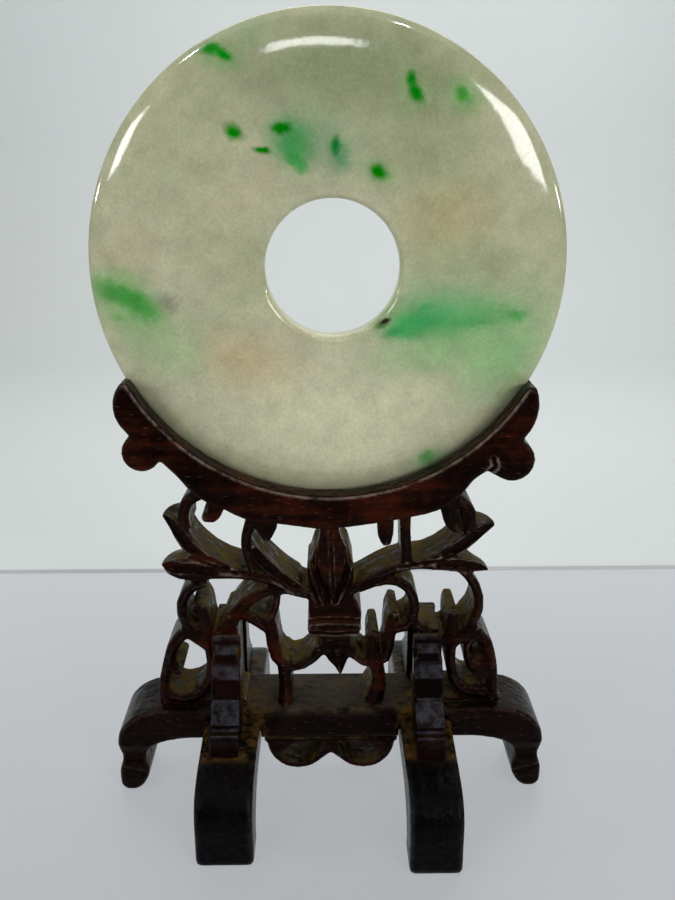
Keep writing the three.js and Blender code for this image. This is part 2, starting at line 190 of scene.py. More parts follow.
@dataclass(frozen=True)
class PolishedJadeite:
    """Jadeite turned and polished on a wheel: a wet gloss over a cloudy, faintly translucent body."""

    body: tuple[str, ...] = ("a8b18e", "b2b798", "babca0", "bbb396")
    cloud_mm: float = 46.0
    cotton_mm: float = 7.0
    ragged_mm: float = 4.0
    lean_mm: float = 2.3
    felt_mm: float = 1.0
    peel_mm: float = 7.0
    warm_lean: str = "d2b48e"
    most_reach: float = 4.5
    ior: float = 1.66
    roughness: float = 0.09
    flecks: tuple[Fleck, ...] = (
        # Warm and pale clouds
        Fleck(-25.5, 161.0, 19.0, 13.0, -15, 0.60, "c3ac83", 0.0),
        Fleck(37.0, 207.0, 19.0, 13.0, 20, 0.50, "bcab86", 0.0),
        # Paler towards the bottom: partly the stone's own hue, partly painted light from below
        Fleck(3.0, 139.0, 54.0, 28.0, 0, 0.72, "d7d5b6", 0.0),
        Fleck(30.0, 231.0, 26.0, 18.0, 30, 0.55, "959c79", 0.0),
        Fleck(47.0, 189.0, 24.0, 15.0, 0, 0.55, "98a47c", 0.0),
        Fleck(-34.0, 200.0, 15.0, 26.0, 0, 0.22, "bab491", 0.0),
        # Darker and greener towards the top: partly the stone's own hue, partly painted shade
        Fleck(4.0, 249.0, 50.0, 19.0, 0, 0.82, "8a9472", 0.0),
        # Green hazes
        Fleck(-54.5, 166.0, 18.0, 12.0, -20, 0.45, "96bb84", 0.0),
        Fleck(-64.0, 180.5, 17.0, 11.5, -32, 0.66, "6fae62", 0.0),
        Fleck(-22.3, 258.7, 9.0, 6.5, 0, 0.38, "8eae84", 0.0),
        Fleck(45.0, 172.0, 32.0, 15.0, 2, 0.62, "7db878", 0.0),
        Fleck(54.0, 158.0, 19.0, 12.0, 28, 0.52, "86bb7c", 0.0),
        Fleck(30.0, 163.0, 25.0, 8.0, 8, 0.42, "8fba80", 0.0),
        Fleck(64.0, 180.0, 9.0, 15.0, -10, 0.35, "90ad80", 0.0),
        Fleck(-3.0, 228.5, 19.0, 11.5, -18, 0.62, "83a07d", 0.0),
        # Streak to the right of the hole
        Fleck(33.0, 176.2, 19.0, 8.4, 5, 0.88, "3da25a", 0.0),
        Fleck(24.0, 172.8, 9.0, 4.4, 14, 0.72, "38a85c", 0.1),
        Fleck(50.0, 176.6, 15.0, 5.6, 1, 0.60, "58a558", 0.0),
        Fleck(59.2, 176.6, 3.6, 2.2, 0, 0.70, "3fa247", 0.1),
        Fleck(16.6, 173.9, 3.4, 1.5, 32, 0.75, "2e6326", 0.2),
        Fleck(17.6, 174.9, 2.0, 0.9, 25, 0.95, "2a170c", 0.3),
        Fleck(38.0, 182.0, 22.0, 7.0, -8, 0.42, "86b386", 0.0),
        Fleck(58.0, 164.0, 15.0, 10.5, 40, 0.42, "86bb7c", 0.0),
        Fleck(20.6, 171.2, 5.0, 2.2, 20, 0.62, "2f9048", 0.1),
        Fleck(27.0, 170.4, 5.4, 1.8, 6, 0.45, "3c9b52", 0.1),
        Fleck(31.0, 179.4, 3.6, 1.3, 24, 0.40, "2f9350", 0.1),
        Fleck(45.0, 174.2, 8.0, 1.7, 5, 0.40, "3d9a52", 0.1),
        # Streak at the left edge
        Fleck(-66.0, 188.6, 9.0, 4.0, -6, 0.40, "84b178", 0.0),
        Fleck(-66.5, 183.8, 11.0, 4.6, -16, 0.85, "389238", 0.05),
        Fleck(-58.8, 179.6, 8.6, 5.0, -34, 0.82, "369636", 0.05),
        Fleck(-50.6, 180.4, 6.0, 3.8, -30, 0.50, "6c695c", 0.0),
        Fleck(-67.0, 176.0, 3.0, 1.6, 0, 0.40, "4f8f46", 0.1),
        # Halos
        Fleck(-31.5, 251.6, 9.4, 5.1, -10, 0.54, "6ea163", 0.0),
        Fleck(24.8, 242.6, 7.7, 6.6, -60, 0.46, "7ba66c", 0.0),
        Fleck(39.4, 240.8, 7.3, 6.2, -30, 0.58, "74ab68", 0.0),
        Fleck(-10.8, 228.0, 9.5, 8.1, -50, 0.90, "479a58", 0.0),
        Fleck(-9.6, 222.6, 5.5, 2.6, -42, 0.82, "439b52", 0.0),
        Fleck(2.9, 225.0, 6.4, 3.7, -70, 0.74, "4f9666", 0.0),
        Fleck(15.4, 219.6, 7.0, 4.4, -20, 0.54, "6ba15f", 0.0),
        Fleck(33.8, 127.4, 8.8, 5.9, 30, 0.54, "7aae74", 0.0),
        # Bright cores
        Fleck(-33.6, 253.3, 4.4, 2.1, 6, 0.95, "248a2c", 0.1),
        Fleck(-30.0, 251.9, 3.4, 1.9, -24, 0.98, "1c8c25", 0.1),
        Fleck(23.9, 245.6, 2.8, 1.9, 70, 0.95, "18821f", 0.1),
        Fleck(25.4, 241.8, 4.4, 2.1, -62, 1.00, "167f1f", 0.1),
        Fleck(39.2, 241.4, 3.4, 2.1, -40, 0.80, "33952d", 0.1),
        Fleck(-28.0, 230.9, 3.9, 2.5, -34, 1.00, "09820f", 0.1),
        Fleck(-14.2, 232.0, 3.9, 2.0, 2, 1.00, "067c0e", 0.1),
        Fleck(-19.8, 226.0, 3.4, 1.4, -8, 1.00, "068208", 0.1),
        Fleck(2.0, 227.4, 3.5, 1.8, 82, 0.97, "207c36", 0.1),
        Fleck(14.8, 220.0, 3.7, 2.4, -18, 1.00, "108212", 0.1),
        Fleck(32.6, 128.4, 3.7, 2.8, 60, 0.62, "319c46", 0.1),
    )

    def material(self) -> bpy.types.Material:
        """Builds the jade: clouds, felted crystals, then each fleck over them.

        Returns:
            The material.
        """
        made, tree, shader = new_material("jadeite_wheel_polished")
        place = add_node(tree, "ShaderNodeTexCoord").outputs["Object"]
        # Broad clouds of greener and warmer stone, a few centimetres across
        clouds = add_node(
            tree,
            "ShaderNodeTexNoise",
            {"Vector": place, "Scale": 1000 / self.cloud_mm, "Detail": 3.5, "Roughness": 0.55},
        )
        body = ramp_stops(
            add_node(tree, "ShaderNodeValToRGB", {"Fac": clouds.outputs["Fac"]}),
            [(0.28, self.body[0]), (0.45, self.body[1]), (0.58, self.body[2]), (0.74, self.body[3])],
        )
        # The fine patterns are turned against the disc's faces, or their cells would line up with them
        mapping = add_node(tree, "ShaderNodeMapping", {"Vector": place, "Rotation": (0.6, 0.4, 0.7)})
        turned = mapping.outputs[0]
        ragged, leaning, felt, cotton = (
            add_node(
                tree,
                "ShaderNodeTexNoise",
                {"Vector": turned, "Scale": 1000 / size, "Detail": detail, "Roughness": roughness},
            )
            for size, detail, roughness in (
                (self.ragged_mm, 5.0, 0.7),
                (self.lean_mm, 4.0, 0.7),
                (self.felt_mm, 3.0, 0.7),
                (self.cotton_mm, 4.0, 0.6),
            )
        )
        # Each crystal leans a little warm or cool
        warmth = add_node(
            tree,
            "ShaderNodeMapRange",
            {"Value": leaning.outputs["Fac"], "From Min": 0.35, "From Max": 0.70, "To Max": 0.17},
        )
        warm = add_node(
            tree,
            "ShaderNodeMix",
            {"Factor": warmth.outputs["Result"], 6: body, 7: linear(self.warm_lean)},
            data_type="RGBA",
        )
        colour = warm.outputs[2]
        for fleck in self.flecks:
            colour = self.add_fleck(tree, place, ragged.outputs["Color"], colour, fleck)
        # The felt of interlocking grains, each about a millimetre
        felted = add_node(
            tree,
            "ShaderNodeMapRange",
            {"Value": felt.outputs["Fac"], "From Min": 0.3, "From Max": 0.7, "To Min": 0.90, "To Max": 1.10},
        )
        # Cottony flecks of whiter crystal, a few millimetres across
        cottony = add_node(
            tree,
            "ShaderNodeMapRange",
            {
                "Value": cotton.outputs["Fac"],
                "From Min": 0.32,
                "From Max": 0.70,
                "To Min": 1.01,
                "To Max": 1.25,
            },
        )
        texture = add_node(
            tree,
            "ShaderNodeMath",
            {0: felted.outputs["Result"], 1: cottony.outputs["Result"]},
            operation="MULTIPLY",
        )
        stone = add_node(
            tree,
            "ShaderNodeHueSaturation",
            {"Color": colour, "Value": texture.outputs[0], "Saturation": 1.08},
        )
        shader.inputs["Base Color"].default_value = linear(self.body[1])
        tree.links.new(stone.outputs["Color"], shader.inputs["Base Color"])
        shader.inputs["Roughness"].default_value = self.roughness
        shader.inputs["IOR"].default_value = self.ior
        shader.inputs["Subsurface Weight"].default_value = 0.25
        shader.inputs["Subsurface Radius"].default_value = (1.0, 1.0, 0.75)
        shader.inputs["Subsurface Scale"].default_value = 0.003
        # Orange-peel left by the wheel
        peel = add_node(
            tree, "ShaderNodeTexNoise", {"Vector": place, "Scale": 1000 / self.peel_mm, "Detail": 2.0}
        )
        bump = add_node(
            tree, "ShaderNodeBump", {"Height": peel.outputs["Fac"], "Strength": 0.12, "Distance": 0.0006}
        )
        tree.links.new(bump.outputs["Normal"], shader.inputs["Normal"])
        return made

    def add_fleck(
        self,
        tree: bpy.types.NodeTree,
        place: bpy.types.NodeSocket,
        ragged: bpy.types.NodeSocket,
        colour: bpy.types.NodeSocket,
        fleck: Fleck,
    ) -> bpy.types.NodeSocket:
        """Lays one fleck over the stone.

        Args:
            tree: The material's tree.
            place: Position in metres.
            ragged: A noise that breaks up the fleck's edge.
            colour: The colour under the fleck.
            fleck: The fleck.

        Returns:
            The colour with the fleck laid over it.
        """
        reach = min(0.6 * (fleck.long + fleck.short), self.most_reach)
        shake = add_node(
            tree,
            "ShaderNodeVectorMath",
            {0: ragged, 1: (0.5, 0.5, 0.5)},
            operation="SUBTRACT",
        )
        shaken = add_node(
            tree,
            "ShaderNodeVectorMath",
            {0: shake.outputs[0], 1: (reach * MM,) * 3, 2: place},
            operation="MULTIPLY_ADD",
        )
        moved = add_node(
            tree,
            "ShaderNodeMapping",
            {
                "Vector": shaken.outputs[0],
                "Location": (fleck.x * MM, 0, fleck.z * MM),
                "Rotation": (0, -math.radians(fleck.turn), 0),
                "Scale": (fleck.long * MM, 1e3, fleck.short * MM),
            },
            vector_type="TEXTURE",
        )
        distance = add_node(tree, "ShaderNodeVectorMath", {0: moved.outputs[0]}, operation="LENGTH")
        weight = add_node(
            tree,
            "ShaderNodeMapRange",
            {
                "Value": distance.outputs["Value"],
                "From Min": fleck.core,
                "From Max": 1.35,
                "To Min": fleck.strength,
                "To Max": 0.0,
            },
            interpolation_type="SMOOTHERSTEP",
        )
        mixed = add_node(
            tree,
            "ShaderNodeMix",
            {"Factor": weight.outputs["Result"], 6: colour, 7: linear(fleck.code)},
            data_type="RGBA",
        )
        return mixed.outputs[2]


@dataclass(frozen=True)
class WaxedRosewood:
    """Rosewood carved with chisels, rubbed smooth and waxed: a satin gloss on dark red-brown wood.

    Dust has settled on what faces up inside the carving; the corners carry rubbing with a painted highlight,
    and the creases a painted shade.
    """

    name: str = "rosewood_carved_waxed"
    dark: str = "040101"
    mid: str = "120402"
    red: str = "381305"
    sheen_and_wear: str = "85756c"
    dust: tuple[str, ...] = ("5c4a1a", "665828", "5e5236")
    grime: str = "5c431d"
    roughness: float = 0.17
    ior: float = 1.5
    specular: float = 0.095
    sheen_of_wax: tuple[float, float, float, float] = (1.0, 0.55, 0.45, 1.0)
    figure_mm: tuple[float, float] = (60.0, 3.0)
    patch_mm: float = 20.0
    speckle_mm: float = 4.5
    chisel_mm: float = 3.4
    pore_mm: tuple[float, float] = (2.2, 0.28)
    pore_wax: str = "6b4a3a"
    shade_and_darkening_tone: str = "050201"
    grain: Grain = Grain.ACROSS
    pore_strength: float = 0.55
    facet_depth: float = 1.2

    def material(self) -> bpy.types.Material:
        """Builds the wood from its figure, pores, corners with rubbing and painted highlight, painted crease
        shade and dust.

        Returns:
            The material.
        """
        made, tree, shader = new_material(self.name)
        place = add_node(tree, "ShaderNodeTexCoord").outputs["Object"]
        dust = add_node(tree, "ShaderNodeAttribute", attribute_name="dust").outputs["Fac"]
        wear_and_highlight = add_node(tree, "ShaderNodeAttribute", attribute_name="wear_and_highlight").outputs["Fac"]
        crease_shade_and_darkening = add_node(tree, "ShaderNodeAttribute", attribute_name="crease_shade_and_darkening").outputs["Fac"]
        run, width = self.figure_mm
        along = [1000 / width] * 3
        along[self.grain] = 1000 / run
        grained = add_node(tree, "ShaderNodeMapping", {"Vector": place, "Scale": tuple(along)})
        figure = add_node(
            tree, "ShaderNodeTexNoise", {"Vector": grained.outputs[0], "Scale": 1.0, "Detail": 5.0}
        )
        patches = add_node(
            tree,
            "ShaderNodeTexNoise",
            {"Vector": place, "Scale": 1000 / self.patch_mm, "Detail": 6.0, "Roughness": 0.62},
        )
        blend = add_node(
            tree,
            "ShaderNodeMath",
            {0: figure.outputs["Fac"], 1: 0.45, 2: patches.outputs["Fac"]},
            operation="MULTIPLY_ADD",
        )
        wood = ramp_stops(
            add_node(tree, "ShaderNodeValToRGB", {"Fac": blend.outputs[0]}),
            [(0.64, self.dark), (0.76, self.mid), (0.93, self.red)],
        )
        # Open pores, short dashes along the grain, with pale wax and polish in some of them
        long, thin = self.pore_mm
        dashes = [1000 / (thin * 3.2)] * 3
        dashes[self.grain] = 1000 / (long * 1.9)
        pores_at = add_node(tree, "ShaderNodeMapping", {"Vector": place, "Scale": tuple(dashes)})
        pores = add_node(
            tree, "ShaderNodeTexVoronoi", {"Vector": pores_at.outputs[0], "Scale": 1.0, "Randomness": 1.0}
        )
        open_pore = add_node(
            tree,
            "ShaderNodeMapRange",
            {
                "Value": pores.outputs["Distance"],
                "From Min": 0.10,
                "From Max": 0.26,
                "To Min": 1.0,
                "To Max": 0.0,
            },
        )
        some = add_node(tree, "ShaderNodeSeparateColor", {"Color": pores.outputs["Color"]})
        chosen = add_node(
            tree,
            "ShaderNodeMapRange",
            {"Value": some.outputs["Red"], "From Min": 0.55, "From Max": 0.95},
        )
        pore = add_node(
            tree,
            "ShaderNodeMath",
            {0: open_pore.outputs["Result"], 1: chosen.outputs["Result"]},
            operation="MULTIPLY",
        )
        pore_mix = add_node(
            tree, "ShaderNodeMath", {0: pore.outputs[0], 1: self.pore_strength}, operation="MULTIPLY"
        )
        pored = add_node(
            tree,
            "ShaderNodeMix",
            {"Factor": pore_mix.outputs[0], 6: wood, 7: linear(self.pore_wax)},
            data_type="RGBA",
        )
        # Rubbing with painted highlight, dust and dirt lie in specks
        speckle = add_node(
            tree,
            "ShaderNodeTexNoise",
            {"Vector": place, "Scale": 1000 / self.speckle_mm, "Detail": 6.0, "Roughness": 0.7},
        )
        uneven = add_node(
            tree,
            "ShaderNodeMapRange",
            {"Value": speckle.outputs["Fac"], "From Min": 0.39, "From Max": 0.60, "To Min": 0.08},
        )
        wear_and_highlight_in = add_node(
            tree, "ShaderNodeMath", {0: wear_and_highlight, 1: uneven.outputs["Result"]}, operation="MULTIPLY"
        )
        wear_and_highlight_mix = add_node(
            tree,
            "ShaderNodeMix",
            {"Factor": wear_and_highlight_in.outputs[0], 6: pored.outputs[2], 7: linear(self.sheen_and_wear)},
            data_type="RGBA",
        )
        # Painted shade: creases, and the darkened places, are pulled towards a near-black tone
        dark_in = add_node(tree, "ShaderNodeMath", {0: crease_shade_and_darkening, 1: 0.7}, operation="MULTIPLY")
        shade_and_darkening_tone = add_node(
            tree,
            "ShaderNodeMix",
            {"Factor": dark_in.outputs[0], 6: wear_and_highlight_mix.outputs[2], 7: linear(self.shade_and_darkening_tone)},
            data_type="RGBA",
        )
        # Settled dust: olive-yellow where it is thick, greyer where it is thin, and never even
        dust_tone = ramp_stops(
            add_node(tree, "ShaderNodeValToRGB", {"Fac": patches.outputs["Fac"]}),
            [(0.38, self.dust[0]), (0.52, self.dust[1]), (0.66, self.dust[2])],
        )
        cover = add_node(
            tree,
            "ShaderNodeMath",
            {0: dust, 1: uneven.outputs["Result"]},
            operation="MULTIPLY",
            use_clamp=True,
        )
        dusty = add_node(
            tree,
            "ShaderNodeMix",
            {"Factor": cover.outputs[0], 6: shade_and_darkening_tone.outputs[2], 7: dust_tone},
            data_type="RGBA",
        )
        # Ochre dirt packed along the glued joints
        grime = add_node(tree, "ShaderNodeAttribute", attribute_name="grime").outputs["Fac"]
        caked = add_node(
            tree,
            "ShaderNodeMapRange",
            {"Value": speckle.outputs["Fac"], "From Min": 0.42, "From Max": 0.62},
        )
        packed = add_node(tree, "ShaderNodeMapRange", {"Value": grime, "From Min": 0.1})
        crumbly = add_node(
            tree,
            "ShaderNodeMath",
            {0: packed.outputs["Result"], 1: caked.outputs["Result"]},
            operation="MULTIPLY",
        )
        grimy = add_node(
            tree,
            "ShaderNodeMix",
            {"Factor": crumbly.outputs[0], 6: dusty.outputs[2], 7: linear(self.grime)},
            data_type="RGBA",
        )
        tree.links.new(grimy.outputs[2], shader.inputs["Base Color"])
        # Wax is duller in patches, and dust kills the gloss
        dull = add_node(
            tree,
            "ShaderNodeMapRange",
            {
                "Value": speckle.outputs["Fac"],
                "From Min": 0.3,
                "From Max": 0.7,
                "To Min": self.roughness - 0.06,
                "To Max": self.roughness + 0.12,
            },
        )
        rough = add_node(
            tree,
            "ShaderNodeMix",
            {"Factor": cover.outputs[0], 2: dull.outputs["Result"], 3: 0.85},
            data_type="FLOAT",
        )
        tree.links.new(rough.outputs[0], shader.inputs["Roughness"])
        shader.inputs["IOR"].default_value = self.ior
        shader.inputs["Specular IOR Level"].default_value = self.specular
        shader.inputs["Specular Tint"].default_value = self.sheen_of_wax
        pitted = add_node(
            tree,
            "ShaderNodeMath",
            {0: pore.outputs[0], 1: -0.9, 2: figure.outputs["Fac"]},
            operation="MULTIPLY_ADD",
        )
        tooled = add_node(
            tree,
            "ShaderNodeMath",
            {0: speckle.outputs["Fac"], 1: 1.0, 2: pitted.outputs[0]},
            operation="MULTIPLY_ADD",
        )
        # Shallow facets left by the chisel, a few millimetres across
        facets = add_node(
            tree,
            "ShaderNodeTexVoronoi",
            {"Vector": place, "Scale": 1000 / self.chisel_mm, "Smoothness": 0.35},
            feature="SMOOTH_F1",
        )
        cut = add_node(
            tree,
            "ShaderNodeMath",
            {0: facets.outputs["Distance"], 1: self.facet_depth, 2: tooled.outputs[0]},
            operation="MULTIPLY_ADD",
        )
        bump = add_node(
            tree, "ShaderNodeBump", {"Height": cut.outputs[0], "Strength": 0.7, "Distance": 0.0006}
        )
        tree.links.new(bump.outputs["Normal"], shader.inputs["Normal"])
        return made


CARVED = WaxedRosewood()
# Planed and waxed: darker and smoother than the carving, with fainter pores and greyer dust
PLANED = WaxedRosewood(
    name="rosewood_planed_waxed",
    dark="030101",
    mid="0b0403",
    red="190906",
    sheen_and_wear="55463f",
    pore_strength=0.3,
    facet_depth=0.5,
    dust=("473f2c", "4e4836", "48443e"),
)
# Blackened with polish: nearly black, with a cold sheen
BLACKENED = WaxedRosewood(
    name="rosewood_blackened_waxed",
    dark="020202",
    mid="040405",
    red="0e0808",
    roughness=0.2,
    specular=0.06,
    sheen_and_wear="2e2c2e",
    dust=("3b2c15", "43351d", "3c3324"),
    sheen_of_wax=(0.9, 0.92, 1.0, 1.0),
    grain=Grain.FRONT_TO_BACK,
    pore_strength=0.15,
    facet_depth=0.6,
)
# Stained nearly black with a trace of red; its corners and upward sloping treads carry a blue-grey painted
# sheen
STAINED = WaxedRosewood(
    name="rosewood_stained_waxed",
    dark="020202",
    mid="0a0404",
    red="1b0806",
    roughness=0.2,
    specular=0.08,
    sheen_and_wear="3a3e47",
    dust=("4a3d1c", "50431f", "4a4026"),
    pore_strength=0.15,
    facet_depth=0.6,
)


@dataclass(frozen=True)
class StagePaint:
    """A pale surface of the studio."""

    name: str
    code: str
    roughness: float
    specular: float = 0.5
    glow: tuple[float, float] = (0.0, 0.0)

    def material(self) -> bpy.types.Material:
        """Builds the paint with a faint unevenness.

        Returns:
            The material.
        """
        made, tree, shader = new_material(self.name)
        place = add_node(tree, "ShaderNodeTexCoord").outputs["Object"]
        uneven = add_node(tree, "ShaderNodeTexNoise", {"Vector": place, "Scale": 6.0, "Detail": 2.0})
        level = add_node(
            tree, "ShaderNodeMapRange", {"Value": uneven.outputs["Fac"], "To Min": 0.97, "To Max": 1.03}
        )
        tone = add_node(
            tree, "ShaderNodeHueSaturation", {"Color": linear(self.code), "Value": level.outputs["Result"]}
        )
        tree.links.new(tone.outputs["Color"], shader.inputs["Base Color"])
        shader.inputs["Roughness"].default_value = self.roughness
        shader.inputs["Specular IOR Level"].default_value = self.specular
        # Light that scatters inside the acrylic and the board; glow is its strength in front and behind
        depth = add_node(tree, "ShaderNodeSeparateXYZ", {"Vector": place})
        glow = add_node(
            tree,
            "ShaderNodeMapRange",
            {
                "Value": depth.outputs["Y"],
                "From Min": -0.4,
                "From Max": 0.2,
                "To Min": self.glow[0],
                "To Max": self.glow[1],
            },
        )
        shader.inputs["Emission Color"].default_value = linear(self.code)
        tree.links.new(glow.outputs["Result"], shader.inputs["Emission Strength"])
        return made


# ---- The disc ----


@dataclass
class JadeDisc:
    """The pierced disc: a turned ring with pillowed rim and an eased, slightly off-centre hole."""

    node: str = "jade_disc"
    radius: float = 74.97
    thickness: float = 8.0
    rim: float = 16.0
    hole: float = 21.1
    hole_shift: tuple[float, float] = (1.2, 0.75)
    hole_edge: float = 2.2
    centre: tuple[float, float] = (-0.2, 190.3)
    around: int = 288
    finish: PolishedJadeite = field(default_factory=PolishedJadeite)

    def profile(self) -> np.ndarray:
        """Outline of the section as radius and depth, once round.

        Returns:
            Points of radius and Y in millimetres.
        """
        half = self.thickness / 2
        turn = np.linspace(-np.pi / 2, np.pi / 2, 29)
        rim = np.stack(
            [self.radius - self.rim + self.rim * np.cos(turn), half * np.sin(turn)], axis=1
        )
        edge = self.hole_edge
        corner = np.linspace(0, np.pi / 2, 7)
        back = np.stack(
            [self.hole + edge - edge * np.sin(corner), half - edge + edge * np.cos(corner)], axis=1
        )
        front = back[::-1] * [1, -1]
        inner = np.linspace(self.radius - self.rim, self.hole + edge, 10)[1:-1]
        face_back = np.stack([inner, np.full(8, half)], axis=1)
        face_front = face_back[::-1] * [1, -1]
        return np.concatenate([rim, face_back, back, front, face_front])

    def build(self) -> bpy.types.Object:
        """Revolves the section and dresses it.

        Returns:
            The disc.
        """
        profile = self.profile()
        count = len(profile)
        angle = np.linspace(0, 2 * np.pi, self.around, endpoint=False)
        radius, depth = profile[:, 0][None, :], profile[:, 1][None, :]
        inward = (self.radius - radius) / (self.radius - self.hole)
        x = radius * np.cos(angle)[:, None] + self.hole_shift[0] * inward + self.centre[0]
        z = radius * np.sin(angle)[:, None] + self.hole_shift[1] * inward + self.centre[1]
        points = np.stack([x, np.broadcast_to(depth, x.shape), z], axis=2).reshape(-1, 3)
        faces = []
        for i in range(self.around):
            j = (i + 1) % self.around
            for k in range(count):
                m = (k + 1) % count
                faces.append((i * count + k, j * count + k, j * count + m, i * count + m))
        made = mesh_object("bi_disc", points, faces)
        made.data.materials.append(self.finish.material())
        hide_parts(self.node)
        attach(made, BODY)
        log.info("bi_disc: %d faces", len(faces))
        return made


# ---- Carved wood ----


class Wood:
    """Vertices of a carved piece in millimetres, with the tools that shape them."""

    def __init__(self, piece: bpy.types.Object) -> None:
        """Reads the piece's vertices and edges.

        Args:
            piece: The carved piece.
        """
        self.piece = piece
        mesh = piece.data
        count = len(mesh.vertices)
        flat = np.empty(count * 3)
        mesh.vertices.foreach_get("co", flat)
        self.at = flat.reshape(-1, 3) / MM
        ends = np.empty(len(mesh.edges) * 2, dtype=np.int64)
        mesh.edges.foreach_get("vertices", ends)
        self.ends = ends.reshape(-1, 2)
        self.degree = np.maximum(np.bincount(ends, minlength=count), 1)[:, None]

    def write(self) -> None:
        """Writes the vertices back to the mesh."""
        self.piece.data.vertices.foreach_set("co", (self.at * MM).ravel())
        self.piece.data.update()

    def normals(self) -> np.ndarray:
        """Vertex normals of the mesh as it stands.

        Returns:
            One unit vector per vertex.
        """
        self.write()
        flat = np.empty(len(self.at) * 3)
        self.piece.data.vertex_normals.foreach_get("vector", flat)
        return flat.reshape(-1, 3)

    def mean(self, values: np.ndarray) -> np.ndarray:
        """Averages values over each vertex's neighbours.

        Args:
            values: One row per vertex.

        Returns:
            The average of the neighbours' rows.
        """
        a, b = self.ends[:, 0], self.ends[:, 1]
        total = np.zeros_like(values)
        for column in range(values.shape[1]):
            total[:, column] = np.bincount(a, values[b, column], len(values))
            total[:, column] += np.bincount(b, values[a, column], len(values))
        return total / self.degree

    def relax(self, rounds: int, amount: float = 0.5) -> None:
        """Rounds corners by moving each vertex towards its neighbours."""
        for _ in range(rounds):
            self.at += amount * (self.mean(self.at) - self.at)

    def carve(
        self, path: tuple[tuple[float, float], ...], width: float, depth: float, sharp: float = 1.0
    ) -> None:
        """Cuts a groove, or raises a ridge, in the front face along a path.

        Args:
            path: Points of X and Z.
            width: Half the width of the cut.
            depth: Depth at its middle; a negative depth raises a ridge.
            sharp: 1 for a V cut, 2 for a gouge cut.
        """
        normals = self.normals()
        facing = smoothstep(0.15, 0.6, -normals[:, 1])
        line = np.asarray(path, dtype=float)
        low, high = line.min(axis=0) - width, line.max(axis=0) + width
        x, z = self.at[:, 0], self.at[:, 2]
        close = (x > low[0]) & (x < high[0]) & (z > low[1]) & (z < high[1]) & (facing > 0)
        points = self.at[close][:, [0, 2]]
        best = np.full(len(points), np.inf)
        for start, end in zip(line[:-1], line[1:]):
            run = end - start
            t = np.clip(((points - start) @ run) / max(run @ run, 1e-9), 0, 1)
            best = np.minimum(best, np.linalg.norm(points - start - t[:, None] * run, axis=1))
        cut = np.clip(1 - best / width, 0, 1)
        shape = cut if sharp <= 1 else 1 - (1 - cut) ** sharp
        self.at[close, 1] += depth * shape * facing[close]

    def mark(self, name: str, values: np.ndarray) -> None:
        """Stores a value on each vertex for the material."""
        layer = self.piece.data.attributes.new(name, "FLOAT", "POINT")
        layer.data.foreach_set("value", np.clip(values, 0, 1).astype(np.float32))

    def curvature(self, rounds: int) -> np.ndarray:
        """How far each vertex stands out of, or sinks below, its smoothed surroundings.

        Args:
            rounds: How many rings of neighbours the surroundings reach.

        Returns:
            Millimetres, positive on outward corners.
        """
        smooth = self.at.copy()
        for _ in range(rounds):
            smooth = self.mean(smooth)
        return np.einsum("ij,ij->i", self.at - smooth, self.normals())


